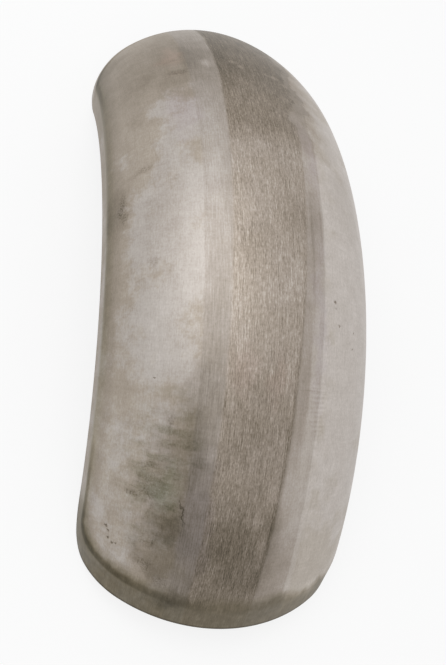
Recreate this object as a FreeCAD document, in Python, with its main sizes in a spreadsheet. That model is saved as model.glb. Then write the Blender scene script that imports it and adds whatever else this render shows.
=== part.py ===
import FreeCAD, Part
import Sketcher
import math
import os

# Steel rear fender of a motorcycle, pressed from one sheet. The wheel axle runs along Y, and the
# fender arches over the wheel, crown up, standing on its four lower corners.

SIZES = [
    ("crown_radius", 345.0, "mm from the axle to the outside of the crown"),
    ("overall_width", 205.6, "mm across the flat borders of the two sides"),
    ("side_depth", 83.0, "mm from the crown to the lower edge, towards the axle"),
    ("crown_curve", 130.0, "mm, radius of the crown across its width"),
    ("arc_angle", 101.0, "degrees of the wheel that the crown covers"),
    ("end_lean", 13.0, "degrees that the end cuts lean from the wheel's radius"),
    ("corner_radius", 42.0, "mm, rounding of the four lower corners"),
    ("border_width", 20.0, "mm, width of the border that runs round the whole edge"),
    ("border_turn", 2.9, "mm that the border's edge is bent in"),
    ("border_press", 0.3, "mm that the side borders are pressed further in, which leaves them flat"),
    ("sheet_gauge", 2.0, "mm, thickness of the steel sheet"),
]
SPARE_ARC = 6.0  # degrees revolved past the end, which the end cut takes off

doc = FreeCAD.newDocument("rear_fender")
sheet = doc.addObject("Spreadsheet::Sheet", "Sizes")
for row, (name, value, meaning) in enumerate(SIZES, start=1):
    sheet.set(f"A{row}", meaning)
    sheet.set(f"B{row}", str(value))
    sheet.setAlias(f"B{row}", name)
doc.recompute()

HALF_WIDTH = "Sizes.overall_width / 2 + Sizes.border_turn + Sizes.border_press"
START, END, CENTRE = 1, 2, 3  # places on a sketch's line or arc
ORIGIN, UPRIGHT = -1, -2      # the sketch's own point and upright axis


def point(x, y):
    return FreeCAD.Vector(x, y, 0)


def origin_plane(body, role):
    return next(plane for plane in body.Origin.OriginFeatures if plane.Role == role)


def new_sketch(body, name, role):
    sketch = body.newObject("Sketcher::SketchObject", body.Name + name)
    sketch.AttachmentSupport = (origin_plane(body, role), [""])
    sketch.MapMode = "FlatFace"
    return sketch


def hold(sketch, *constraints):
    for constraint in constraints:
        sketch.addConstraint(Sketcher.Constraint(*constraint))


def tie(sketch, name, formula, *constraint):
    """Add a dimension to the sketch and tie it to the sheet."""
    index = sketch.addConstraint(Sketcher.Constraint(*constraint))
    sketch.renameConstraint(index, name)
    sketch.setExpression(f"Constraints.{name}", formula)


def draw_section(body, inset):
    """Half of the cross-section over the axle: crown arc, shoulder arc, lower line, middle line."""
    less = " - Sizes.sheet_gauge" if inset else ""
    radius = sheet.crown_radius - inset
    half = sheet.overall_width / 2 + sheet.border_turn + sheet.border_press - inset
    depth = sheet.side_depth - inset
    curve = sheet.crown_curve - inset
    shoulder = (curve ** 2 - half ** 2 - (curve - depth) ** 2) / (2 * (curve - half))
    meeting = math.atan2(curve - depth, half - shoulder)
    low = radius - depth

    sketch = new_sketch(body, "Section", "YZ_Plane")
    normal = FreeCAD.Vector(0, 0, 1)
    crown_circle = Part.Circle(point(0, radius - curve), normal, curve)
    shoulder_circle = Part.Circle(point(half - shoulder, low), normal, shoulder)
    crown = sketch.addGeometry(Part.ArcOfCircle(crown_circle, meeting, math.pi / 2))
    side = sketch.addGeometry(Part.ArcOfCircle(shoulder_circle, 0, meeting))
    bottom = sketch.addGeometry(Part.LineSegment(point(half, low), point(0, low)))
    middle = sketch.addGeometry(Part.LineSegment(point(0, low), point(0, radius)))
    hold(
        sketch,
        ("Tangent", crown, START, side, END),
        ("Coincident", side, START, bottom, START),
        ("Coincident", bottom, END, middle, START),
        ("Coincident", middle, END, crown, END),
        ("Horizontal", bottom),
        ("Vertical", middle),
        ("PointOnObject", middle, START, UPRIGHT),
        ("PointOnObject", crown, CENTRE, UPRIGHT),
        ("Horizontal", side, CENTRE, side, START),
    )
    tie(sketch, "crown", "Sizes.crown_radius" + less, "DistanceY", ORIGIN, START, crown, END, radius)
    tie(sketch, "curve", "Sizes.crown_curve" + less, "Radius", crown, curve)
    tie(sketch, "half", HALF_WIDTH + less, "DistanceX", ORIGIN, START, side, START, half)
    tie(sketch, "depth", "Sizes.side_depth" + less, "DistanceY", middle, START, middle, END, depth)
    return sketch


def draw_end_cut(body):
    """Seen along the axle: what lies past the end line, which leans in from the crown."""
    turn = math.radians(sheet.arc_angle / 2)
    lean = math.radians(sheet.arc_angle / 2 + sheet.end_lean)
    reach = sheet.side_depth
    crown_end = point(math.sin(turn), math.cos(turn)) * sheet.crown_radius
    along = point(math.sin(lean), math.cos(lean))
    away = point(math.cos(lean), -math.sin(lean))
    inner = crown_end - along * 2 * reach
    outer = crown_end + along * reach
    corners = [inner, outer, outer + away * 2 * reach, inner + away * 2 * reach]

    sketch = new_sketch(body, "EndCut", "XZ_Plane")
    spoke = sketch.addGeometry(Part.LineSegment(point(0, 0), crown_end), True)
    lines = []
    for first, second in zip(corners, corners[1:] + corners[:1]):
        lines.append(sketch.addGeometry(Part.LineSegment(first, second)))
    for line, following in zip(lines, lines[1:] + lines[:1]):
        hold(sketch, ("Coincident", line, END, following, START))
    hold(
        sketch,
        ("Coincident", spoke, START, ORIGIN, START),
        ("PointOnObject", spoke, END, lines[0]),
        ("Perpendicular", lines[0], lines[1]),
        ("Perpendicular", lines[1], lines[2]),
        ("Perpendicular", lines[2], lines[3]),
    )
    tie(sketch, "across", "Sizes.crown_radius * sin(Sizes.arc_angle / 2 * 1 deg)",
        "DistanceX", ORIGIN, START, spoke, END, crown_end.x)
    tie(sketch, "height", "Sizes.crown_radius * cos(Sizes.arc_angle / 2 * 1 deg)",
        "DistanceY", ORIGIN, START, spoke, END, crown_end.y)
    tie(sketch, "slope", "(90 - Sizes.arc_angle / 2 - Sizes.end_lean) * 1 deg",
        "Angle", lines[0], math.pi / 2 - lean)
    tie(sketch, "outside", "Sizes.side_depth", "Distance", spoke, END, lines[0], END, reach)
    tie(sketch, "length", "3 * Sizes.side_depth", "Distance", lines[0], 3 * reach)
    tie(sketch, "width", "2 * Sizes.side_depth", "Distance", lines[1], 2 * reach)
    return sketch


def draw_side_press(body, inset):
    """A disc over the whole side, in the plane of the flat side border."""
    more = " + Sizes.sheet_gauge" if inset else ""
    sketch = new_sketch(body, "SidePress", "XZ_Plane")
    sketch.setExpression("AttachmentOffset.Base.z", "-Sizes.overall_width / 2" + more)
    disc = sketch.addGeometry(Part.Circle(point(0, 0), FreeCAD.Vector(0, 0, 1), sheet.crown_radius))
    hold(sketch, ("Coincident", disc, CENTRE, ORIGIN, START))
    tie(sketch, "reach", "Sizes.crown_radius", "Radius", disc, sheet.crown_radius)
    return sketch


def cut_away(body, name, sketch, side):
    """Cut the sketch right through the body, and make sure that something went."""
    before = body.Shape.Volume
    pocket = body.newObject("PartDesign::Pocket", body.Name + name)
    pocket.Profile = sketch
    pocket.Type = "ThroughAll"
    pocket.SideType = side
    doc.recompute()
    if pocket.Shape.Volume >= before:
        raise RuntimeError(pocket.Name + " cuts nothing")
    return pocket


def edge_names(shape, wanted):
    return [f"Edge{i}" for i, edge in enumerate(shape.Edges, start=1) if wanted(edge)]


def lower_corner(edge):
    """The straight edge, parallel to the axle, where the end cut meets the lower face."""
    first, last = edge.Vertexes[0].Point, edge.Vertexes[-1].Point
    straight = isinstance(edge.Curve, Part.Line)
    return straight and first.x > 1 and abs(first.x - last.x) < 0.01 and abs(first.z - last.z) < 0.01


def pressed_form(name, inset):
    """The solid under one face of the sheet: the outside, or the inside one sheet gauge deeper."""
    body = doc.addObject("PartDesign::Body", name)
    section = draw_section(body, inset)
    arch = body.newObject("PartDesign::Revolution", name + "Arch")
    arch.Profile = section
    arch.ReferenceAxis = (section, ["H_Axis"])
    arch.setExpression("Angle", f"(Sizes.arc_angle / 2 + {SPARE_ARC}) * 1 deg")
    doc.recompute()
    if arch.Shape.BoundBox.XMax < 1:
        arch.Reversed = True
        doc.recompute()
    ended = cut_away(body, "End", draw_end_cut(body), "Symmetric")

    corner = body.newObject("PartDesign::Fillet", name + "Corner")
    corner.Base = (ended, edge_names(ended.Shape, lower_corner))
    corner.setExpression("Radius", "Sizes.corner_radius")
    doc.recompute()

    shape = corner.Shape

    def rim(edge):
        """The edge of the arched outside, all the way round this quarter."""
        arched = [isinstance(face.Surface, Part.Toroid) for face in shape.ancestorsOfType(edge, Part.Face)]
        middle = edge.CenterOfMass
        return arched.count(True) == 1 and middle.x > 0.01 and middle.y > 0.01

    border = body.newObject("PartDesign::Chamfer", name + "Border")
    border.Base = (corner, edge_names(shape, rim))
    border.ChamferType = "Two distances"
    border.FlipDirection = True
    border.setExpression("Size", "Sizes.border_width")
    border.setExpression("Size2", "Sizes.border_turn")
    doc.recompute()
    cut_away(body, "Flat", draw_side_press(body, inset), "One side")

    for label, role in (("Across", "XZ_Plane"), ("Along", "YZ_Plane")):
        mirror = body.newObject("PartDesign::Mirrored", name + label)
        mirror.TransformMode = "Whole shape"
        mirror.MirrorPlane = (origin_plane(body, role), [""])
        body.Tip = mirror
        doc.recompute()
    return body


outside = pressed_form("Outside", 0)
inside = pressed_form("Inside", sheet.sheet_gauge)

shell = doc.addObject("Part::Cut", "FenderShell")
shell.Label = "fender_shell"
shell.Base = outside
shell.Tool = inside
shell.Refine = True

# The lower corners' arcs touch the end line and the circle of the lower edge. Their lowest points
# are the feet that the fender stands on, so the shell is lowered by their height over the axle.
CORNER_REACH = "(Sizes.crown_radius - Sizes.side_depth + Sizes.corner_radius)"
CORNER_IN = "(Sizes.crown_radius * sin(Sizes.end_lean * 1 deg) + Sizes.corner_radius)"
END_SLOPE = "((Sizes.arc_angle / 2 + Sizes.end_lean) * 1 deg)"
shell.setExpression(
    "Placement.Base.z",
    f"-(sqrt({CORNER_REACH} ^ 2 - {CORNER_IN} ^ 2) * cos({END_SLOPE})"
    f" + {CORNER_IN} * sin({END_SLOPE}) - Sizes.corner_radius)",
)
doc.recompute()

for item in doc.Objects:
    if "Invalid" in item.State or "Error" in item.State:
        raise RuntimeError(f"{item.Name} failed: {item.State}")
if shell.Shape.isNull() or not shell.Shape.isValid():
    raise RuntimeError("the shell is not a valid shape")
if len(shell.Shape.Solids) != 1:
    raise RuntimeError("the shell is not one solid")

os.makedirs("parts", exist_ok=True)
shell.Shape.exportStep(f"parts/{shell.Label}.step")
box = shell.Shape.BoundBox
print(f"fender_shell: {shell.Shape.Volume / 1000:.1f} cm3, {len(shell.Shape.Faces)} faces")
print(f"box {box.XMin:.2f} {box.YMin:.2f} {box.ZMin:.2f} to {box.XMax:.2f} {box.YMax:.2f} {box.ZMax:.2f}")
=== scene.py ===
import math

import bpy
from mathutils import Matrix, Vector


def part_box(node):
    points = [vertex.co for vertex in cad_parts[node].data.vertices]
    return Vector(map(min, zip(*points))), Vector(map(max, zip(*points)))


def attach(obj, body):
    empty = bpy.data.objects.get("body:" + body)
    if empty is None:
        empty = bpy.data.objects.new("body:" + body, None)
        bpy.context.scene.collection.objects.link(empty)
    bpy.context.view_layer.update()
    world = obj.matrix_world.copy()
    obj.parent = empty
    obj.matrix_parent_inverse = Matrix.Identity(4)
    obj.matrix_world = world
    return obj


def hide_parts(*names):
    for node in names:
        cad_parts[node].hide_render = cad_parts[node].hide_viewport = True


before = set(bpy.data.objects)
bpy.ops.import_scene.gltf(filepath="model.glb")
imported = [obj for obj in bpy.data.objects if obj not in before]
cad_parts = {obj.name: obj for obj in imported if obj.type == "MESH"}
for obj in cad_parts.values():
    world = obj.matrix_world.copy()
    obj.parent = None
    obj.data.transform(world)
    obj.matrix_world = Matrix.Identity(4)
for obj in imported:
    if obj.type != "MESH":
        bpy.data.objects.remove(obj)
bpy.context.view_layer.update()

# Sizes of the fender, in metres and degrees
CROWN_RADIUS = 0.345     # from the axle to the outside of the crown
OVERALL_WIDTH = 0.2056   # across the flat side borders
SIDE_DEPTH = 0.083       # from the crown to the lower edge
CROWN_CURVE = 0.130      # radius of the crown across its width
ARC_ANGLE = 101.0        # how much of the wheel the crown covers
END_LEAN = 13.0          # how far the end cuts lean from the wheel's radius
CORNER_RADIUS = 0.042    # rounding of the lower corners
BORDER_WIDTH = 0.020     # border round the whole edge
BORDER_TURN = 0.0029     # how far the border's edge is bent in
BORDER_PRESS = 0.0003    # how much further the side borders are pressed flat
SHEET_GAUGE = 0.002      # thickness of the sheet

# Finer shapes, which show only from close by
BEND_REACH = 0.003       # soft bend on each side of the crease
PRESS_REACH = 0.0003     # softness of the bend into the flat side border
EDGE_ROUND = 0.00025     # broken edge of the cut sheet
ROUND_SEGMENTS = 2
ROUND_ANGLE = 50.0       # edges sharper than this are broken

# The grid that the sheet is rolled from
ROWS_ACROSS = 157        # points of the grid across the sheet
ROWS_ALONG = 281         # points of the grid along it
EVEN_SPACING = 0.35      # how much of the rows' spacing is even, and the rest closes up at the edges
FACES_INSIDE = 2         # faces beside each edge of the grid that is not on the cut
LEAST_DISTANCE = 0.0001  # stands for 0 where a distance divides

# Heights of the axle and of the lower corners
AXLE_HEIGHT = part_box("fender_shell")[1].z - CROWN_RADIUS
FOOT_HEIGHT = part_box("fender_shell")[0].z


class Term:
    """A value in a node tree, which plain arithmetic can be written with."""

    def __init__(self, tree, socket):
        self.tree = tree
        self.socket = socket

    def __add__(self, other):
        return reckon(self.tree, "ADD", self, other)

    def __radd__(self, other):
        return reckon(self.tree, "ADD", other, self)

    def __sub__(self, other):
        return reckon(self.tree, "SUBTRACT", self, other)

    def __rsub__(self, other):
        return reckon(self.tree, "SUBTRACT", other, self)

    def __mul__(self, other):
        return reckon(self.tree, "MULTIPLY", self, other)

    def __rmul__(self, other):
        return reckon(self.tree, "MULTIPLY", other, self)

    def __truediv__(self, other):
        return reckon(self.tree, "DIVIDE", self, other)

    def __rtruediv__(self, other):
        return reckon(self.tree, "DIVIDE", other, self)


def feed(tree, entry, value):
    """Give an input a linked value or a plain one."""
    if isinstance(value, Term):
        tree.links.new(value.socket, entry)
    else:
        entry.default_value = value


def add_node(tree, kind, outcome=0, settings=None, **inputs):
    """A new node with its settings and inputs, and the output of it that is used."""
    node = tree.nodes.new(kind)
    for name, value in (settings or {}).items():
        setattr(node, name, value)
    for name, value in inputs.items():
        feed(tree, node.inputs[name.replace("_", " ")], value)
    return Term(tree, node.outputs[outcome])


def reckon(tree, operation, *values):
    node = tree.nodes.new("ShaderNodeMath")
    node.operation = operation
    for place, value in enumerate(values):
        feed(tree, node.inputs[place], value)
    return Term(tree, node.outputs[0])


def sine(angle):
    return reckon(angle.tree, "SINE", angle)


def cosine(angle):
    return reckon(angle.tree, "COSINE", angle)


def arc_sine(value):
    return reckon(value.tree, "ARCSINE", value)


def arc_cosine(value):
    return reckon(value.tree, "ARCCOSINE", value)


def bearing(rise, run):
    return reckon(rise.tree, "ARCTAN2", rise, run)


def root(value):
    return reckon(value.tree, "SQRT", value)


def extent(value):
    return reckon(value.tree, "ABSOLUTE", value)


def least(value, other):
    return reckon(value.tree, "MINIMUM", value, other)


def most(value, other):
    return reckon(value.tree, "MAXIMUM", value, other)


def where_less(value, limit, below, above):
    """below where value is less than limit, above elsewhere."""
    is_less = reckon(value.tree, "LESS_THAN", value, limit)
    return above + (below - above) * is_less


def soft_excess(value, reach):
    """value where it is positive and 0 elsewhere, with a soft bend of this reach at 0."""
    within = most(least(value, reach), reach * -1.0) + reach
    return within * within / (reach * 4.0) + most(value - reach, 0.0)


def vector(tree, x, y, z):
    return add_node(tree, "ShaderNodeCombineXYZ", X=x, Y=y, Z=z)


def vector_math(operation, outcome, first, second):
    node = first.tree.nodes.new("ShaderNodeVectorMath")
    node.operation = operation
    feed(first.tree, node.inputs[0], first)
    feed(first.tree, node.inputs[1], second)
    return Term(first.tree, node.outputs[outcome])


def dot(first, second):
    return vector_math("DOT_PRODUCT", "Value", first, second)


def vector_minus(first, second):
    return vector_math("SUBTRACT", "Vector", first, second)


# The sheet: a flat grid rolled over the wheel, with its border bent in along a crease

SHEET_SIZES = {
    "Crown Radius": CROWN_RADIUS,
    "Overall Width": OVERALL_WIDTH,
    "Side Depth": SIDE_DEPTH,
    "Crown Curve": CROWN_CURVE,
    "Arc Angle": math.radians(ARC_ANGLE),
    "End Lean": math.radians(END_LEAN),
    "Corner Radius": CORNER_RADIUS,
    "Border Width": BORDER_WIDTH,
    "Border Turn": BORDER_TURN,
    "Border Press": BORDER_PRESS,
    "Bend Reach": BEND_REACH,
    "Press Reach": PRESS_REACH,
    "Axle Height": AXLE_HEIGHT,
}
SHEET_COUNTS = {"Rows Across": ROWS_ACROSS, "Rows Along": ROWS_ALONG}


def rolled_sheet_tree(finish):
    tree = bpy.data.node_groups.new("rolled_sheet", "GeometryNodeTree")
    for name in SHEET_SIZES:
        tree.interface.new_socket(name=name, in_out="INPUT", socket_type="NodeSocketFloat")
    for name in SHEET_COUNTS:
        tree.interface.new_socket(name=name, in_out="INPUT", socket_type="NodeSocketInt")
    tree.interface.new_socket(name="Sheet", in_out="OUTPUT", socket_type="NodeSocketGeometry")
    given = tree.nodes.new("NodeGroupInput")
    size = {name: Term(tree, given.outputs[name]) for name in (*SHEET_SIZES, *SHEET_COUNTS)}

    def store(sheet, name, value, kind="FLOAT"):
        return add_node(
            tree, "GeometryNodeStoreNamedAttribute", settings={"data_type": kind, "domain": "POINT"},
            Geometry=sheet, Name=name, Value=value,
        )

    flat = add_node(
        tree, "GeometryNodeMeshGrid", Size_X=2.0, Size_Y=2.0,
        Vertices_X=size["Rows Across"], Vertices_Y=size["Rows Along"],
    )
    flat = store(flat, "flat_place", add_node(tree, "GeometryNodeInputPosition"), "FLOAT_VECTOR")
    flat_place = add_node(
        tree, "GeometryNodeInputNamedAttribute", settings={"data_type": "FLOAT_VECTOR"}, Name="flat_place"
    )
    parts = tree.nodes.new("ShaderNodeSeparateXYZ")
    feed(tree, parts.inputs[0], flat_place)

    def closer_at_edges(share):
        """From -1 to 1, with the rows closer together near both edges."""
        return share * EVEN_SPACING + sine(share * (math.pi / 2)) * (1.0 - EVEN_SPACING)

    across = closer_at_edges(Term(tree, parts.outputs["X"])) * -1.0
    along = closer_at_edges(Term(tree, parts.outputs["Y"]))

    # Section over the axle: a crown arc, then a shoulder arc down to the lower edge
    curve, depth, radius = size["Crown Curve"], size["Side Depth"], size["Crown Radius"]
    half_width = size["Overall Width"] / 2.0 + size["Border Turn"] + size["Border Press"]
    rise_left = curve - depth
    shoulder = curve * curve - half_width * half_width - rise_left * rise_left
    shoulder = shoulder / (2.0 * (curve - half_width))
    shoulder_middle = half_width - shoulder
    meeting = bearing(rise_left, shoulder_middle)
    crown_length = curve * (math.pi / 2 - meeting)
    girth = across * (crown_length + shoulder * meeting)
    reach = extent(girth)
    side = reckon(tree, "SIGN", girth)

    def by_arc(on_crown, on_shoulder):
        return where_less(reach, crown_length, on_crown, on_shoulder)

    tilt = by_arc(math.pi / 2 - reach / curve, meeting - (reach - crown_length) / shoulder)
    side_place = by_arc(curve * cosine(tilt), shoulder_middle + shoulder * cosine(tilt))
    spoke = radius - by_arc(curve - curve * sine(tilt), depth - shoulder * sine(tilt))

    # End of the sheet on this spoke: a leaning line, then the rounded lower corner
    corner, lean = size["Corner Radius"], size["End Lean"]
    line_off = radius * sine(lean)
    corner_off = line_off + corner
    corner_out = radius - depth + corner
    corner_along = root(corner_out * corner_out - corner_off * corner_off)
    touch = root(corner_along * corner_along + line_off * line_off)
    line_back = arc_sine(line_off / spoke) - lean
    swing = (spoke * spoke + corner_out * corner_out - corner * corner) / (2.0 * spoke * corner_out)
    corner_back = bearing(corner_off, corner_along) - lean - arc_cosine(least(swing, 1.0))
    turn = along * (size["Arc Angle"] / 2.0 - where_less(spoke, touch, corner_back, line_back))

    rolled_place = vector(
        tree, spoke * sine(turn), side * side_place, spoke * cosine(turn) + size["Axle Height"]
    )
    rolled = add_node(tree, "GeometryNodeSetPosition", Geometry=flat, Position=rolled_place)

    # Distance from the cut edge, over the sheet
    faces_beside = add_node(tree, "GeometryNodeInputMeshEdgeNeighbors")
    on_edge = reckon(tree, "LESS_THAN", faces_beside, FACES_INSIDE)
    cut_edge = add_node(
        tree, "GeometryNodeSeparateGeometry", settings={"domain": "EDGE"},
        Geometry=rolled, Selection=on_edge,
    )
    near = tree.nodes.new("GeometryNodeProximity")
    near.target_element = "EDGES"
    feed(tree, near.inputs[0], cut_edge)
    edge_distance = Term(tree, near.outputs["Distance"])
    rolled = store(rolled, "edge_distance", edge_distance)
    rolled = store(rolled, "girth", girth)
    rolled = store(rolled, "turn", turn)

    # The cut face at the nearest edge: the end, the rounded corner or the lower edge
    near_place = tree.nodes.new("ShaderNodeSeparateXYZ")
    tree.links.new(near.outputs["Position"], near_place.inputs[0])
    near_out = extent(Term(tree, near_place.outputs["X"]))
    near_up = Term(tree, near_place.outputs["Z"]) - size["Axle Height"]
    near_spoke = root(near_out * near_out + near_up * near_up)
    near_turn = bearing(near_out, near_up)
    end_slope = size["Arc Angle"] / 2.0 + lean
    corner_turn = end_slope - bearing(corner_off, corner_along)

    def by_edge(at_end, at_corner, at_lower_edge):
        below_end = where_less(near_turn, corner_turn, at_lower_edge, at_corner)
        return where_less(near_spoke, touch, below_end, at_end)

    face_out = by_edge(
        at_end=cosine(end_slope),
        at_corner=(near_out - corner_out * sine(corner_turn)) / corner,
        at_lower_edge=sine(near_turn) * -1.0,
    )
    face_up = by_edge(
        at_end=sine(end_slope) * -1.0,
        at_corner=(near_up - corner_out * cosine(corner_turn)) / corner,
        at_lower_edge=cosine(near_turn) * -1.0,
    )

    # The border is straight across its width, and its edge is bent in along the cut face
    onward = vector(tree, cosine(turn), 0.0, sine(turn) * -1.0)
    to_edge = vector_minus(Term(tree, near.outputs["Position"]), rolled_place)
    share_along = dot(to_edge, onward) / most(edge_distance, LEAST_DISTANCE)
    share_along = least(share_along * share_along, 1.0)
    bend_across = by_arc(1.0 / curve, 1.0 / shoulder)
    bend = bend_across + (sine(tilt) / spoke - bend_across) * share_along
    width = size["Border Width"]
    slope = size["Border Turn"] / width + bend * edge_distance / 2.0
    inward = soft_excess(width - edge_distance, size["Bend Reach"]) * slope
    swept = extent(turn)
    lift = sine(tilt)
    off_face = lift * (sine(swept) * face_out + cosine(swept) * face_up)
    inward = inward / (1.0 - off_face * off_face)
    place_out = spoke * sine(swept) - inward * (lift * sine(swept) - off_face * face_out)
    place_up = spoke * cosine(swept) - inward * (lift * cosine(swept) - off_face * face_up)
    flat_side = size["Overall Width"] / 2.0
    place_side = flat_side - soft_excess(
        flat_side - (side_place - cosine(tilt) * inward), size["Press Reach"]
    )
    pressed_place = vector(
        tree,
        reckon(tree, "SIGN", turn) * place_out,
        side * place_side,
        place_up + size["Axle Height"],
    )
    pressed = add_node(tree, "GeometryNodeSetPosition", Geometry=rolled, Position=pressed_place)
    pressed = add_node(tree, "GeometryNodeSetShadeSmooth", Geometry=pressed)
    pressed = add_node(tree, "GeometryNodeRealizeInstances", Geometry=pressed)
    pressed = add_node(tree, "GeometryNodeSetMaterial", Geometry=pressed, Material=finish)
    feed(tree, tree.nodes.new("NodeGroupOutput").inputs["Sheet"], pressed)
    return tree


def make_fender(outside, underside, cut_edge):
    finishes = (outside, underside, cut_edge)
    tree = rolled_sheet_tree(outside)
    fender = bpy.data.objects.new("fender_sheet", bpy.data.meshes.new("fender_sheet"))
    bpy.context.scene.collection.objects.link(fender)
    for finish in finishes:
        fender.data.materials.append(finish)
    rolling = fender.modifiers.new("rolling", "NODES")
    rolling.node_group = tree
    chosen = {**SHEET_SIZES, **SHEET_COUNTS}
    for entry in tree.interface.items_tree:
        if entry.in_out == "INPUT":
            rolling[entry.identifier] = chosen[entry.name]
    gauge = fender.modifiers.new("gauge", "SOLIDIFY")
    gauge.thickness = SHEET_GAUGE
    gauge.offset = -1.0
    gauge.use_even_offset = True
    gauge.material_offset = finishes.index(underside)
    gauge.material_offset_rim = finishes.index(cut_edge)
    rounding = fender.modifiers.new("rounding", "BEVEL")
    rounding.width = EDGE_ROUND
    rounding.segments = ROUND_SEGMENTS
    rounding.limit_method = "ANGLE"
    rounding.angle_limit = math.radians(ROUND_ANGLE)
    graph = bpy.context.evaluated_depsgraph_get()
    mesh = bpy.data.meshes.new_from_object(
        fender.evaluated_get(graph), preserve_all_data_layers=True, depsgraph=graph
    )
    fender.modifiers.clear()
    fender.data = mesh
    # The lower corners stand on the floor, and nothing goes below it
    for spot in mesh.vertices:
        spot.co.z = max(spot.co.z, FOOT_HEIGHT)
    mesh.materials.clear()
    for finish in finishes:
        mesh.materials.append(finish)
    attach(fender, "root")
    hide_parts("fender_shell")


# Finishes: bare rolled steel, brushed along the crown, with clouds, stains and smudges, and painted shade
# along the creases and the rear border

# Places and sizes on the sheet are in millimetres. Along runs round the wheel from the top of the
# arch, and forward is above 0. Girth runs across the sheet from the middle of the crown, and left is
# above 0. Tones run from 0 to 255.
MM = 0.001
FULL_TONE = 255.0
PATCH_BORDER = (1.25, 0.2)   # shares of an oval mark's size where it starts to show and is full
BUMP_HEIGHT = 0.2            # height of the grain and of faint dents

# The steel's colour at each tone
STEEL_COLOURS = [
    (60, (66, 59, 47)),
    (95, (103, 94, 82)),
    (125, (135, 125, 114)),
    (150, (159, 149, 140)),
    (175, (182, 174, 167)),
    (205, (211, 204, 199)),
]


def screen_colour(red, green, blue):
    """A colour given as on a screen, from 0 to 255, for use in a shader."""

    def straight(level):
        share = level / FULL_TONE
        return share / 12.92 if share <= 0.04045 else ((share + 0.055) / 1.055) ** 2.4

    return (straight(red), straight(green), straight(blue), 1.0)


def new_group(name, inputs, outputs):
    """A shader node group with these sockets, and its inputs as terms."""
    group = bpy.data.node_groups.new(name, "ShaderNodeTree")
    for label, kind in inputs.items():
        group.interface.new_socket(name=label, in_out="INPUT", socket_type="NodeSocket" + kind)
    for label, kind in outputs.items():
        group.interface.new_socket(name=label, in_out="OUTPUT", socket_type="NodeSocket" + kind)
    given = group.nodes.new("NodeGroupInput")
    return group, {label: Term(group, given.outputs[label]) for label in inputs}


def finish_group(group, **outputs):
    result = group.nodes.new("NodeGroupOutput")
    for label, value in outputs.items():
        feed(group, result.inputs[label.replace("_", " ")], value)
    return group


def use_group(tree, group, **inputs):
    """Place a group in a material and give its outputs as terms."""
    node = tree.nodes.new("ShaderNodeGroup")
    node.node_tree = group
    for label, value in inputs.items():
        feed(tree, node.inputs[label.replace("_", " ")], value)
    return {socket.name: Term(tree, socket) for socket in node.outputs}


def noise(place, scale, detail, rough, outcome="Fac"):
    node = place.tree.nodes.new("ShaderNodeTexNoise")
    feed(place.tree, node.inputs["Vector"], place)
    node.inputs["Scale"].default_value = scale
    node.inputs["Detail"].default_value = detail
    node.inputs["Roughness"].default_value = rough
    return Term(place.tree, node.outputs[outcome])


def smooth_step(value, start, stop):
    """From 0 at start to 1 at stop, with soft ends."""
    node = value.tree.nodes.new("ShaderNodeMapRange")
    node.interpolation_type = "SMOOTHSTEP"
    feed(value.tree, node.inputs["Value"], value)
    feed(value.tree, node.inputs["From Min"], start)
    feed(value.tree, node.inputs["From Max"], stop)
    return Term(value.tree, node.outputs["Result"])


def ridge(value, start, full, fall, stop):
    """From 0 at start to 1 between full and fall, and back to 0 at stop."""
    return smooth_step(value, start, full) * (1.0 - smooth_step(value, fall, stop))


def sheet_place_group():
    """Where a point is on the flat sheet: along the wheel, across it, and in from the cut edge."""
    group, given = new_group(
        "sheet_place",
        {"Layer": "Float"},
        {"Along": "Float", "Girth": "Float", "Edge": "Float", "Place": "Vector"},
    )

    def kept(name):
        return add_node(group, "ShaderNodeAttribute", "Fac", {"attribute_name": name})

    along = kept("turn") * CROWN_RADIUS
    girth = kept("girth")
    return finish_group(
        group,
        Along=along / MM,
        Girth=girth / MM,
        Edge=kept("edge_distance") / MM,
        Place=vector(group, along, girth, given["Layer"]),
    )


def grain_group():
    """Fine lines along the wheel, from -0.5 to 0.5, of a given fineness across and length along."""
    group, given = new_group(
        "rolled_grain",
        {"Place": "Vector", "Lines per Metre": "Float", "Length": "Float"},
        {"Grain": "Float"},
    )
    parts = group.nodes.new("ShaderNodeSeparateXYZ")
    feed(group, parts.inputs[0], given["Place"])
    drawn = vector(
        group,
        Term(group, parts.outputs["X"]) / given["Length"],
        Term(group, parts.outputs["Y"]) * given["Lines per Metre"],
        Term(group, parts.outputs["Z"]),
    )
    return finish_group(group, Grain=noise(drawn, 1.0, detail=3.0, rough=0.6) - 0.5)


def cloud_group():
    """Soft mottling from -0.5 to 0.5, with clouds of a given size."""
    group, given = new_group("clouding", {"Place": "Vector", "Size": "Float"}, {"Cloud": "Float"})
    scaled = group.nodes.new("ShaderNodeVectorMath")
    scaled.operation = "SCALE"
    feed(group, scaled.inputs[0], given["Place"])
    feed(group, scaled.inputs["Scale"], 1.0 / given["Size"])
    mottling = noise(Term(group, scaled.outputs[0]), 1.0, detail=5.0, rough=0.55)
    return finish_group(group, Cloud=mottling - 0.5)


def patch_group():
    """A soft oval: 1 in its middle and 0 outside."""
    group, given = new_group(
        "soft_patch",
        {
            "Along": "Float", "Girth": "Float", "Middle Along": "Float", "Middle Girth": "Float",
            "Half Length": "Float", "Half Width": "Float",
        },
        {"Mask": "Float"},
    )
    off_along = (given["Along"] - given["Middle Along"]) / given["Half Length"]
    off_girth = (given["Girth"] - given["Middle Girth"]) / given["Half Width"]
    off = root(off_along * off_along + off_girth * off_girth)
    return finish_group(group, Mask=smooth_step(off, *PATCH_BORDER))


SHEET_PLACE = sheet_place_group()
GRAIN = grain_group()
CLOUDING = cloud_group()
SOFT_PATCH = patch_group()


def new_steel(name, metal):
    material = bpy.data.materials.new(name)
    material.use_nodes = True
    shader = material.node_tree.nodes["Principled BSDF"]
    shader.inputs["Metallic"].default_value = metal
    return material, material.node_tree, shader


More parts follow.
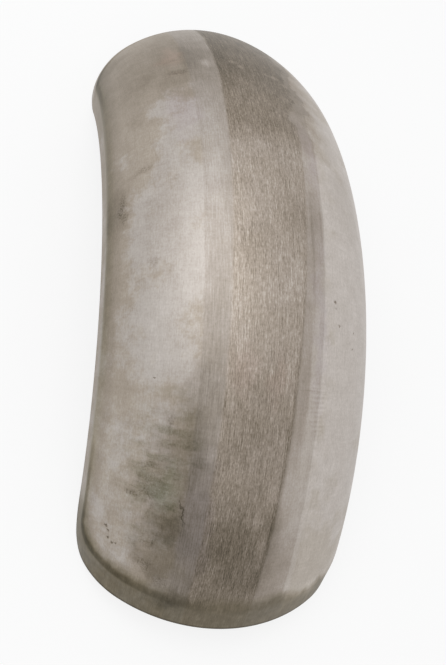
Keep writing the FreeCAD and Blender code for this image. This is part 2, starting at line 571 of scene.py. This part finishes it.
def colour_of(tree, level):
    """The steel's colour at a tone."""
    ramp = tree.nodes.new("ShaderNodeValToRGB")
    feed(tree, ramp.inputs["Fac"], level / FULL_TONE)
    stops = ramp.color_ramp.elements
    stops.remove(stops[1])
    first_tone, first_colour = STEEL_COLOURS[0]
    stops[0].position = first_tone / FULL_TONE
    stops[0].color = screen_colour(*first_colour)
    for at, colour in STEEL_COLOURS[1:]:
        stops.new(at / FULL_TONE).color = screen_colour(*colour)
    return Term(tree, ramp.outputs["Color"])


def bump(tree, height, strength):
    node = tree.nodes.new("ShaderNodeBump")
    node.inputs["Strength"].default_value = strength
    node.inputs["Distance"].default_value = BUMP_HEIGHT * MM
    feed(tree, node.inputs["Height"], height)
    return Term(tree, node.outputs["Normal"])


def tinted(colour, amount, tint):
    """The colour times a tint, where amount is 1."""
    tree = colour.tree
    node = tree.nodes.new("ShaderNodeMix")
    node.data_type = "RGBA"
    node.blend_type = "MULTIPLY"
    feed(tree, node.inputs["Factor"], amount)
    colours = [socket for socket in node.inputs if socket.type == "RGBA"]
    feed(tree, colours[0], colour)
    colours[1].default_value = (*tint, 1.0)
    return next(Term(tree, socket) for socket in node.outputs if socket.type == "RGBA")


# The outside of the sheet

RIGHT_TONE = 182         # tone on the right of the first band
OUTSIDE_METAL = 0.65
OUTSIDE_ROUGHNESS = 0.46
ROUGH_GRAIN = 0.2        # how much rougher the finest grain makes it
ROUGH_FILM = 0.06        # how much rougher the film makes it
DENT_SIZE = 5            # size of the faint dents in the surface
BUMP_STRENGTH = 0.2
DRIFT_SCALE = 45.0       # clouds per metre that the borders of marks wander with
LOOSE_REACH = (60, 36)   # how far the borders of stains wander, along and across
SMUDGE_REACH = (20, 20)
CLOSE_REACH = (5, 5)
FINE_LINES = (1500, 4)   # lines per metre across, and their length
DRAWN_LINES = (1300, 20)
STREAK_LINES = (420, 22)
BROAD_LINES = (20, 150)
BAND_WAVE = 2            # how far the broad lines shift the borders of bands
BAND_FRAY = 3            # how far the streaks do
FAR_SIDE_GIRTH = (5, -10)
FAR_SIDE_ALONG = (70, 130)
FAR_SIDE_BLUR = 50       # how far the borders wander on the right of the forward end


class OutsideSteel:
    """The outside's material, whose tone and tints are laid mark by mark."""

    def __init__(self, name):
        self.material, self.tree, self.shader = new_steel(name, OUTSIDE_METAL)
        spot = use_group(self.tree, SHEET_PLACE, Layer=0.0)
        self.along = spot["Along"]
        self.girth = spot["Girth"]
        self.edge = spot["Edge"]
        self.place = spot["Place"]
        self.tone = RIGHT_TONE
        self.tints = []
        clouds = noise(self.place, DRIFT_SCALE, detail=6.0, rough=0.62, outcome="Color")
        parts = add_node(self.tree, "ShaderNodeSeparateColor", "Red", Color=clouds).socket.node
        self.drift_along = Term(self.tree, parts.outputs["Red"]) - 0.5
        self.drift_across = Term(self.tree, parts.outputs["Green"]) - 0.5
        self.fine = self.grain(*FINE_LINES)
        self.streaks = self.grain(*STREAK_LINES)

        # The place on the sheet, and the same place shifted about for marks with wandering borders
        self.still = (self.along, self.girth)
        self.loose = self.wander(*LOOSE_REACH)
        self.smudged = self.wander(*SMUDGE_REACH)
        self.close = self.wander(*CLOSE_REACH)
        far_side = smooth_step(self.girth, *FAR_SIDE_GIRTH) * smooth_step(self.along, *FAR_SIDE_ALONG)
        band_girth = self.girth + self.grain(*BROAD_LINES) * BAND_WAVE + self.streaks * BAND_FRAY
        self.band_girth = band_girth + self.drift_across * far_side * FAR_SIDE_BLUR

    def cloud(self, size):
        return use_group(self.tree, CLOUDING, Place=self.place, Size=size * MM)["Cloud"]

    def grain(self, lines, length):
        drawn = use_group(self.tree, GRAIN, Place=self.place, Lines_per_Metre=lines, Length=length * MM)
        return drawn["Grain"]

    def stretched_noise(self, place, length, width, layer, detail, rough):
        """Noise from 0 to 1 with clouds of this length along and width across."""
        along, girth = place
        stretched = vector(self.tree, along / length, girth / width, layer)
        return noise(stretched, 1.0, detail, rough)

    def wander(self, reach_along, reach_across):
        """The place on the sheet, shifted about so that the borders of marks wander."""
        return self.along + self.drift_along * reach_along, self.girth + self.drift_across * reach_across

    def patch(self, place, middle_along, middle_girth, half_length, half_width):
        """A soft oval: 1 in its middle and 0 outside."""
        along, girth = place
        oval = use_group(
            self.tree, SOFT_PATCH, Along=along, Girth=girth,
            Middle_Along=middle_along, Middle_Girth=middle_girth,
            Half_Length=half_length, Half_Width=half_width,
        )
        return oval["Mask"]

    def left_of(self, start, lean, softness):
        """1 on the left of a line along the bands that leans across the crown, and 0 on its right."""
        leaning = self.band_girth + self.along * lean
        return smooth_step(leaning, start - softness, start + softness)

    def shade(self, mask, change):
        self.tone = self.tone + mask * change

    def tint(self, mask, tint):
        self.tints.append((mask, tint))

    def lay(self, marks, place):
        """Change the tone by soft ovals, each with its own change."""
        for *oval, change in marks:
            self.shade(self.patch(place, *oval), change)

    def finished(self, film):
        colour = colour_of(self.tree, self.tone)
        for mask, tint in self.tints:
            colour = tinted(colour, mask, tint)
        roughness = OUTSIDE_ROUGHNESS + self.fine * ROUGH_GRAIN + film * ROUGH_FILM
        height = self.fine + self.cloud(DENT_SIZE)
        feed(self.tree, self.shader.inputs["Base Color"], colour)
        feed(self.tree, self.shader.inputs["Roughness"], roughness)
        feed(self.tree, self.shader.inputs["Normal"], bump(self.tree, height, BUMP_STRENGTH))
        return self.material


# Bands along the wheel: the girth where each starts, how that start leans, its softness and the tone
BANDS = [
    (-46, 0.02, 0.8, 165),
    (-30, 0.05, 1.2, 148),
    (26, 0.02, 1.6, 153),
    (46, 0.0, 0.8, 164),
    (68, 0.0, 9.0, 169),
    (95, 0.0, 9.0, 166),
    (112, 0.0, 6.0, 152),
]
BRUSHED_START = BANDS[1][:3]
BRUSHED_STOP = BANDS[2][:3]
BRUSHED_LEAN = BRUSHED_START[1]
LEFT_SIDE = (46, 0.0, 1.6)
RIGHT_SIDE = (-46, 0.0, 1.6)

# Steps down towards the forward end of the crown: along where each starts and stops, change of tone
FORWARD_STEPS = [(60, 100, -25), (110, 180, -19)]
FORWARD_RIGHT = (-62, 0.0, 26)
FORWARD_TINT = (1.012, 1.0, 0.978)


def lay_bands(steel):
    tone_before = RIGHT_TONE
    for *start, tone in BANDS:
        steel.shade(steel.left_of(*start), tone - tone_before)
        tone_before = tone
    crown = steel.left_of(*FORWARD_RIGHT) * (1.0 - steel.left_of(*BRUSHED_STOP))
    along = steel.loose[0]
    change = sum(smooth_step(along, start, stop) * fall for start, stop, fall in FORWARD_STEPS)
    full_change = sum(fall for *_, fall in FORWARD_STEPS)
    steel.shade(crown, change)
    steel.tint(crown * change / full_change, FORWARD_TINT)


# Stains and clean places, and one painted shade at the forward left corner: along, girth, half length and
# half width, and change of tone
STAINS = [
    (-200, 54, 80, 31, -28),
    (-122, 48, 28, 12, -16),
    (-250, 60, 26, 18, -15),
    (-224, 60, 22, 16, -14),
    (-250, 6, 60, 48, -42),
    (-170, 12, 90, 44, -14),
    (25, 116, 36, 14, -16),
    (190, 70, 80, 70, -21),
    (190, 38, 56, 16, -10),
    # painted shade where the border turns away at the forward left corner
    (250, 112, 26, 26, -20),
    (30, 76, 50, 14, -9),
    (45, -76, 44, 22, -9),
    (-185, 113, 66, 18, 9),
    (150, -30, 50, 30, -5),
    (-228, 50, 16, 14, -12),
    (14, -26, 26, 20, -9),
    (-150, 0, 50, 28, -6),
    (-20, 78, 50, 20, -6),
    (-15, 12, 26, 15, -10),
    (-45, -20, 20, 9, 9),
    (112, 92, 12, 12, -9),
    (162, 84, 16, 16, -8),
]

# Straight streaks along the bands, given in the same way
STREAKS = [
    (0, -38, 50, 9, -14),
    (-70, -30, 90, 5, -14),
    (-150, -36, 90, 8, 6),
    (60, 38, 60, 10, 9),
    (-80, 37, 75, 11, -13),
    (195, 55, 36, 7, 8),
    (-165, 43, 42, 8, -13),
    (-130, -29, 44, 6, -12),
    (-224, -21, 34, 6, -14),
    (-20, -35, 60, 1.8, -14),
    (10, -43.5, 30, 1.3, -12),
    (-105, -33, 45, 1.5, -10),
    (188, 44, 24, 6, -9),
]

# The dark line at the brushed band's right border, given in the same way
BAND_LINE = (-170, -29.4, 130, 3.0, -22)

# Small granular smudges, given in the same way
SMUDGES = [
    (22, 110, 16, 4, -38),
    (163, 53, 2.5, 10, -26),
    (184, 56, 5, 5, -14),
    (52, 93, 3.5, 9, -24),
    (-28, 83, 3, 6, -20),
    (-145, 62, 5, 3.5, -24),
    (-179, 75, 2.5, 8, -20),
    (-204, 84, 3, 6, -36),
    (-200, 73, 3, 8, -20),
    (-257, 66, 6, 9, -22),
    (-266, 55, 6, 9, -22),
    (-236, 68, 4, 9, -18),
]
CRUMB_SIZE = 1.4
CRUMB_RANGE = (-0.06, 0.14)
BETWEEN_CRUMBS = 0.35    # strength of a smudge between its crumbs

# Small rubbed places, given in the same way
RUBBED = [
    (176, 8, 4, 5, 24),
    (169, 3, 4, 4, 24),
    (165, -26, 3, 8, 24),
    (158, -34, 3, 5, 24),
    (172, 31, 9, 5, 24),
]

# Faint tints: along, girth, half length and half width, and the tint
TINTS = [
    (-195, 58, 20, 12, (0.94, 1.0, 0.95)),
    (-215, 36, 60, 14, (0.98, 0.98, 1.06)),
    (-70, -40, 80, 7, (0.99, 0.985, 1.03)),
    (70, -40, 40, 8, (1.0, 0.985, 1.03)),
    (105, 57, 36, 13, (1.0, 0.985, 1.03)),
    (188, 58, 24, 12, (1.05, 0.975, 0.96)),
    (-106, 18, 24, 11, (1.02, 0.985, 0.985)),
    (-112, -8, 22, 9, (1.02, 0.985, 0.985)),
]


def lay_stains(steel):
    along = steel.close[0]
    steel.lay(STAINS, steel.loose)
    steel.lay(STREAKS, (along, steel.band_girth))
    steel.lay([BAND_LINE], (along, steel.band_girth + steel.along * BRUSHED_LEAN))
    steel.lay(RUBBED, steel.close)
    crumbs = BETWEEN_CRUMBS + smooth_step(steel.cloud(CRUMB_SIZE), *CRUMB_RANGE)
    for *oval, change in SMUDGES:
        steel.shade(steel.patch(steel.smudged, *oval) * crumbs, change)
    for *oval, tint in TINTS:
        steel.tint(steel.patch(steel.loose, *oval), tint)


# Tan film over the steel: along, girth, half length and half width, and where it is thick (above 0)
# or worn off (below 0)
FILM = [
    (200, 80, 110, 90, 0.27),
    (40, 118, 190, 20, 0.16),
    (-22, 71, 124, 39, -0.21),
    (110, 52, 36, 28, -0.22),
    (75, 90, 36, 18, 0.26),
    (-38, 84, 20, 14, 0.08),
    (-60, -80, 200, 36, -0.30),
    (-185, 98, 70, 30, 0.04),
    (-255, -60, 30, 40, 0.30),
]
FILM_THICKNESS = 0.06    # where no oval changes it
FILM_CLOUDS = 30         # size of its clouds
FILM_TEARS = 4           # size of its torn borders
FILM_TORN = 0.34         # how much they are torn
FILM_SHOWS = (-0.09, 0.17)
FILM_ON_CROWN = 0.25     # how much of it shows on the crown
FILM_ON_LEFT = 0.75      # how much more on the left side
FILM_ON_RIGHT = 0.4      # how much more on the right side
FILM_CHANGE = -15
FILM_TINT = (1.014, 1.0, 0.942)
LEFT_TINT = (0.985, 1.0, 1.012)
LEFT_HIDDEN = 0.7        # how much of the left side's tint the film hides


def lay_film(steel):
    """A tan film beside the crown, which shows the paler steel where it is worn off."""
    on_left = steel.left_of(*LEFT_SIDE) * FILM_ON_LEFT
    on_right = (1.0 - steel.left_of(*RIGHT_SIDE)) * FILM_ON_RIGHT
    thickness = steel.cloud(FILM_CLOUDS) + FILM_THICKNESS + steel.cloud(FILM_TEARS) * FILM_TORN
    for *oval, change in FILM:
        thickness = thickness + steel.patch(steel.loose, *oval) * change
    film = smooth_step(thickness, *FILM_SHOWS) * (FILM_ON_CROWN + on_left + on_right)
    steel.shade(film, FILM_CHANGE)
    steel.tint(film, FILM_TINT)
    steel.tint(steel.left_of(*BRUSHED_STOP) * (1.0 - film * LEFT_HIDDEN), LEFT_TINT)
    return film


# Grain and mottling: strength all over, and how much more on the brushed band
FINE_STRENGTH = (38, 84)
STREAK_STRENGTH = (14, 34)
DRAWN_STRENGTH = (16, 66)
SPECKLE_STRENGTH = (30, 18)
WIPED_STRENGTH = (14, -14)
DRAWN_BESIDE = 34        # how much more drawn grain on the stripe beside the brushed band
SPECKLE_SIZE = 1.6
MOTTLE_SIZE = 12
MOTTLE_STRENGTH = 24
WIPED_SIZE = (2.5, 14)   # faint marks of wiping across the sheet, along and across
BRUSHED_TINT = (1.012, 0.997, 0.97)


def lay_grain(steel):
    """Brushed grain, strongest on the crown, and fine mottling all over."""
    brushed = steel.left_of(*BRUSHED_START) * (1.0 - steel.left_of(*BRUSHED_STOP))
    stripe = steel.left_of(*BRUSHED_STOP) * (1.0 - steel.left_of(*LEFT_SIDE))

    def strength(all_over, on_band):
        return brushed * on_band + all_over

    wiped = steel.stretched_noise(steel.still, *WIPED_SIZE, layer=9.0, detail=3.0, rough=0.6) - 0.5
    steel.shade(steel.fine, strength(*FINE_STRENGTH))
    steel.shade(steel.streaks, strength(*STREAK_STRENGTH))
    steel.shade(steel.grain(*DRAWN_LINES), strength(*DRAWN_STRENGTH) + stripe * DRAWN_BESIDE)
    steel.shade(steel.cloud(SPECKLE_SIZE), strength(*SPECKLE_STRENGTH))
    steel.shade(wiped, strength(*WIPED_STRENGTH))
    steel.shade(steel.cloud(MOTTLE_SIZE), MOTTLE_STRENGTH)
    steel.tint(brushed, BRUSHED_TINT)


# Dark smears with wisps on the left of the rear end
SMEARED = (-185, 64, 66, 32)
SMEAR_SIZE = (10, 30)
SMEAR_SHOWS = (0.42, 0.64)
SMEAR_CHANGE = -24
SMEAR_CRUMB_SIZE = 1.1
SMEAR_CRUMB_CHANGE = -60
SMEAR_TINT = (0.96, 1.0, 0.94)
WISPY = (-200, 70, 62, 32)
WISP_SIZE = (1.8, 5)
WISP_SHOWS = (0.54, 0.68)
WISP_CHANGE = -20


def lay_smears(steel):
    smear = steel.stretched_noise(steel.still, *SMEAR_SIZE, layer=4.0, detail=6.0, rough=0.62)
    smear = smooth_step(smear, *SMEAR_SHOWS) * steel.patch(steel.loose, *SMEARED)
    steel.shade(smear, SMEAR_CHANGE + steel.cloud(SMEAR_CRUMB_SIZE) * SMEAR_CRUMB_CHANGE)
    steel.tint(smear, SMEAR_TINT)
    wisps = steel.stretched_noise(steel.loose, *WISP_SIZE, layer=7.0, detail=4.0, rough=0.65)
    steel.shade(smooth_step(wisps, *WISP_SHOWS) * steel.patch(steel.loose, *WISPY), WISP_CHANGE)


# A crack-like mark, file marks and a scratch: along, girth, half length and half width, change of tone
CRACK = (-209, 99, 11, 0.8, -40)
CRACK_LEAN = -0.25
CRACK_BENDS = 5          # size of its bends
CRACK_REACH = 9          # how far they swing
FILED = (-130, -42, 26, 7)
FILE_PITCH = 3.4
FILED_CHANGE = -5
SCRATCH = (-117, -38, 0.7, 13, -16)

# Rust specks: along, girth and radius
SPECKS = [
    (-50, -56, 1.4),
    (-54, -57, 0.8),
    (-67, -60.5, 1.2),
    (-70, -78.5, 1.1),
    (-83, -77.5, 1.1),
    (-237, 100, 1.4),
    (-240, 98, 1.0),
    (-246, 97, 1.2),
    (-249, 93, 1.4),
    (-248, 90, 1.0),
    (-117, 77, 1.0),
]
SPECK_CHANGE = -70
SPECK_TEARS = (2.2, 1.7)  # size of their torn outlines, along and across
SPECK_REACH = 5


def lay_scars(steel):
    bent_girth = steel.girth + steel.cloud(CRACK_BENDS) * CRACK_REACH
    steel.lay([CRACK], (steel.along, bent_girth + steel.along * CRACK_LEAN))
    teeth = sine(steel.along * (2 * math.pi / FILE_PITCH))
    steel.shade(teeth * steel.patch(steel.loose, *FILED), FILED_CHANGE)
    steel.lay([SCRATCH], (steel.close[0], steel.loose[1]))
    torn = [
        shifted + steel.cloud(size) * SPECK_REACH
        for shifted, size in zip(steel.close, SPECK_TEARS)
    ]
    for along, girth, radius in SPECKS:
        steel.shade(steel.patch(torn, along, girth, radius, radius), SPECK_CHANGE)


# Painted shade along the crease, by distance from the cut edge: where it starts, is full, falls and stops
SIDE_CREASE_SHADE = (15, 19, 22, 34)
SIDE_CREASE_GIRTH = (96, 116)
SIDE_CREASE_CHANGE = -9
SIDE_CREASE_DARKENS = (-150, -60)   # along where it gets darker towards the forward end
SIDE_CREASE_DARKER = -15
SIDE_CREASE_TINT = (0.99, 1.0, 0.92)
END_CREASE_SHADE = (18, 20.5, 23, 27)
END_CREASE_ALONG = (165, 215)
END_CREASE_LEFT = (60, 0.0, 45)
END_CREASE_CHANGE = -34
END_CREASE_FADES = (0, 50)          # along where it gets fainter towards the forward end
END_CREASE_FAINTER = 10
END_CREASE_TINT = (1.02, 1.0, 0.92)

# The dark border at the rear end, partly painted shade and partly a dark stain, with a ragged inner edge
# and a rim of painted shade along the cut edge
REAR_ALONG = (-215, -258)
REAR_BORDER = (34, 21)              # distances from the cut edge where it starts and is full
REAR_RAGGED = 22
REAR_NARROWER = 8                   # how much narrower it is on the right
REAR_RIGHT = (-58, 0.0, 16)
REAR_TONE = 92
REAR_COVER = 0.85
REAR_CLOUDS = 6
REAR_CLOUD_STRENGTH = 34
REAR_FINE_STRENGTH = 34
REAR_STREAK_STRENGTH = 24
REAR_TINT = (0.99, 1.0, 0.91)
RIM_SHADE = (2.6, 0.6)
RIM_ALONG = (-150, -262)
RIM_CHANGE = -26

# Stains on that border: along, girth, half length and half width, and change of tone
BORDER_STAINS = [
    (-280, 40, 14, 22, -19),
    (-268, 46, 16, 20, -12),
    (-280, -60, 11, 17, 16),
]


def lay_border(steel):
    """Painted shade along the crease and the cut edge, and the border beyond the crease, pale beside the
    wheel and dark at the rear end from painted shade and a stain.
    """
    # Painted shade along the crease of the side borders, darker towards the forward end, with an olive
    # tint
    side_crease_shade = ridge(steel.edge, *SIDE_CREASE_SHADE) * smooth_step(extent(steel.girth), *SIDE_CREASE_GIRTH)
    darker = smooth_step(steel.loose[0], *SIDE_CREASE_DARKENS) * SIDE_CREASE_DARKER
    steel.shade(side_crease_shade, SIDE_CREASE_CHANGE + darker)
    steel.tint(side_crease_shade, SIDE_CREASE_TINT)

    # The rear border's dark tone: partly painted shade and painted reflection of the floor, partly a dark
    # stain
    ragged = steel.drift_along * REAR_RAGGED + (1.0 - steel.left_of(*REAR_RIGHT)) * REAR_NARROWER
    rear_shade_and_stain = smooth_step(steel.along, *REAR_ALONG) * smooth_step(steel.edge + ragged, *REAR_BORDER)
    cover = (REAR_TONE - steel.tone) * REAR_COVER + steel.cloud(REAR_CLOUDS) * REAR_CLOUD_STRENGTH
    cover = cover + steel.fine * REAR_FINE_STRENGTH + steel.streaks * REAR_STREAK_STRENGTH
    steel.shade(rear_shade_and_stain, cover)
    steel.tint(rear_shade_and_stain, REAR_TINT)

    # Painted shade along the crease at the ends, on the left, fainter towards the forward end
    end_crease_shade = ridge(steel.edge, *END_CREASE_SHADE) * smooth_step(extent(steel.along), *END_CREASE_ALONG)
    end_crease_shade = end_crease_shade * steel.left_of(*END_CREASE_LEFT)
    fainter = smooth_step(steel.along, *END_CREASE_FADES) * END_CREASE_FAINTER
    steel.shade(end_crease_shade, END_CREASE_CHANGE + fainter)
    steel.tint(end_crease_shade, END_CREASE_TINT)

    steel.lay(BORDER_STAINS, steel.loose)
    # Painted shade along the cut edge at the rear end
    rim_shade = smooth_step(steel.edge, *RIM_SHADE) * smooth_step(steel.along, *RIM_ALONG)
    steel.shade(rim_shade, RIM_CHANGE)


def outside_finish():
    steel = OutsideSteel("raw_steel_outside")
    lay_bands(steel)
    lay_stains(steel)
    film = lay_film(steel)
    lay_grain(steel)
    lay_smears(steel)
    lay_scars(steel)
    lay_border(steel)
    return steel.finished(film)


# The underside and the cut edge, plain steel with grain and clouds

UNDERSIDE_METAL = 0.6
UNDERSIDE_ROUGHNESS = 0.55
UNDERSIDE_TONE = 140
UNDERSIDE_LAYER = 3.0    # keeps its clouds apart from the outside's
UNDERSIDE_LINES = 900    # lines per metre across
UNDERSIDE_LENGTH = 50
UNDERSIDE_GRAIN_STRENGTH = 18
UNDERSIDE_ROUGH_GRAIN = 0.1
UNDERSIDE_LARGE = 60     # size of its large clouds
UNDERSIDE_LARGE_STRENGTH = 46
UNDERSIDE_ROUGH_LARGE = 0.12
UNDERSIDE_SMALL = 9      # size of its small clouds
UNDERSIDE_SMALL_STRENGTH = 20
UNDERSIDE_BUMP_STRENGTH = 0.15
CUT_METAL = 0.65
CUT_ROUGHNESS = 0.45
CUT_TONE = 138
CUT_LAYER = 6.0
CUT_CLOUDS = 8           # size of its clouds
CUT_CLOUD_STRENGTH = 50
CUT_ROUGH_CLOUD = 0.2


def underside_finish():
    material, tree, shader = new_steel("raw_steel_underside", UNDERSIDE_METAL)
    place = use_group(tree, SHEET_PLACE, Layer=UNDERSIDE_LAYER)["Place"]
    lines = use_group(
        tree, GRAIN, Place=place, Lines_per_Metre=UNDERSIDE_LINES, Length=UNDERSIDE_LENGTH * MM
    )
    grain = lines["Grain"]
    large = use_group(tree, CLOUDING, Place=place, Size=UNDERSIDE_LARGE * MM)["Cloud"]
    small = use_group(tree, CLOUDING, Place=place, Size=UNDERSIDE_SMALL * MM)["Cloud"]
    level = UNDERSIDE_TONE + grain * UNDERSIDE_GRAIN_STRENGTH
    level = level + large * UNDERSIDE_LARGE_STRENGTH + small * UNDERSIDE_SMALL_STRENGTH
    roughness = UNDERSIDE_ROUGHNESS + grain * UNDERSIDE_ROUGH_GRAIN + large * UNDERSIDE_ROUGH_LARGE
    normal = bump(tree, grain + small, UNDERSIDE_BUMP_STRENGTH)
    feed(tree, shader.inputs["Base Color"], colour_of(tree, level))
    feed(tree, shader.inputs["Roughness"], roughness)
    feed(tree, shader.inputs["Normal"], normal)
    return material


def cut_edge_finish():
    material, tree, shader = new_steel("raw_steel_cut_edge", CUT_METAL)
    place = use_group(tree, SHEET_PLACE, Layer=CUT_LAYER)["Place"]
    small = use_group(tree, CLOUDING, Place=place, Size=CUT_CLOUDS * MM)["Cloud"]
    feed(tree, shader.inputs["Base Color"], colour_of(tree, CUT_TONE + small * CUT_CLOUD_STRENGTH))
    feed(tree, shader.inputs["Roughness"], CUT_ROUGHNESS + small * CUT_ROUGH_CLOUD)
    return material


make_fender(outside_finish(), underside_finish(), cut_edge_finish())

# Floor, light and camera

FLOOR_SPAN = 12.0
FLOOR_WHITE = 0.97
FLOOR_GLOW = 0.85        # how much of the floor's white is its own to the camera
KEY_PLACE = Vector((0.32, 0.42, 1.50))
KEY_AIM = Vector((0.0, 0.0, 0.1))
KEY_SPAN = 1.5
KEY_POWER = 10.0
KEY_COLOUR = (0.96, 0.98, 1.0)
WORLD_LEVEL = 0.7
CAMERA_PLACE = Vector((-0.29613, 0.21111, 0.66930))
CAMERA_AIM = Vector((-0.06336, 0.01777, 0.10000))
CAMERA_UP = Vector((0.93228, 0.09325, 0.34951))
CAMERA_LENS = 48.24
CAMERA_SENSOR = 36.0
CAMERA_NEAREST = 0.01


def seen_directly(tree):
    """1 for rays that show a surface as it is: from the camera, in a reflection or through glass."""
    rays = tree.nodes.new("ShaderNodeLightPath")
    seen = most(Term(tree, rays.outputs["Is Camera Ray"]), Term(tree, rays.outputs["Is Glossy Ray"]))
    return most(seen, Term(tree, rays.outputs["Is Transmission Ray"]))


def make_floor():
    half = FLOOR_SPAN / 2
    mesh = bpy.data.meshes.new("floor")
    corners = [(-half, -half, 0), (half, -half, 0), (half, half, 0), (-half, half, 0)]
    mesh.from_pydata(corners, [], [(0, 1, 2, 3)])
    floor = bpy.data.objects.new("floor", mesh)
    bpy.context.scene.collection.objects.link(floor)
    material = bpy.data.materials.new("pale_floor")
    material.use_nodes = True
    tree = material.node_tree
    tree.nodes.clear()
    matt = tree.nodes.new("ShaderNodeBsdfDiffuse")
    matt.inputs["Color"].default_value = (FLOOR_WHITE, FLOOR_WHITE, FLOOR_WHITE, 1.0)
    glow = tree.nodes.new("ShaderNodeEmission")
    glow.inputs["Color"].default_value = (FLOOR_WHITE, FLOOR_WHITE, FLOOR_WHITE, 1.0)
    mix = tree.nodes.new("ShaderNodeMixShader")
    feed(tree, mix.inputs[0], seen_directly(tree) * FLOOR_GLOW)
    tree.links.new(matt.outputs[0], mix.inputs[1])
    tree.links.new(glow.outputs[0], mix.inputs[2])
    tree.links.new(mix.outputs[0], tree.nodes.new("ShaderNodeOutputMaterial").inputs["Surface"])
    mesh.materials.append(material)


def make_key_light():
    lamp = bpy.data.lights.new("key", "AREA")
    lamp.shape = "DISK"
    lamp.size = KEY_SPAN
    lamp.energy = KEY_POWER
    lamp.color = KEY_COLOUR
    light = bpy.data.objects.new("key", lamp)
    light.location = KEY_PLACE
    light.rotation_euler = (KEY_AIM - KEY_PLACE).to_track_quat("-Z", "Y").to_euler()
    bpy.context.scene.collection.objects.link(light)


def make_world():
    world = bpy.data.worlds.new("studio")
    world.use_nodes = True
    tree = world.node_tree
    sky = tree.nodes["Background"]
    sky.inputs["Color"].default_value = (1.0, 1.0, 1.0, 1.0)
    feed(tree, sky.inputs["Strength"], WORLD_LEVEL + seen_directly(tree) * (FLOOR_WHITE - WORLD_LEVEL))
    bpy.context.scene.world = world


def make_camera():
    back = (CAMERA_PLACE - CAMERA_AIM).normalized()
    right = CAMERA_UP.cross(back).normalized()
    up = back.cross(right)
    turned = Matrix((right, up, back)).transposed().to_4x4()
    data = bpy.data.cameras.new("camera")
    data.sensor_fit = "VERTICAL"
    data.sensor_height = CAMERA_SENSOR
    data.lens = CAMERA_LENS
    data.clip_start = CAMERA_NEAREST
    camera = bpy.data.objects.new("camera", data)
    camera.matrix_world = Matrix.Translation(CAMERA_PLACE) @ turned
    bpy.context.scene.collection.objects.link(camera)
    bpy.context.scene.camera = camera


make_floor()
make_key_light()
make_world()
make_camera()
bpy.context.scene.view_settings.view_transform = "Standard"
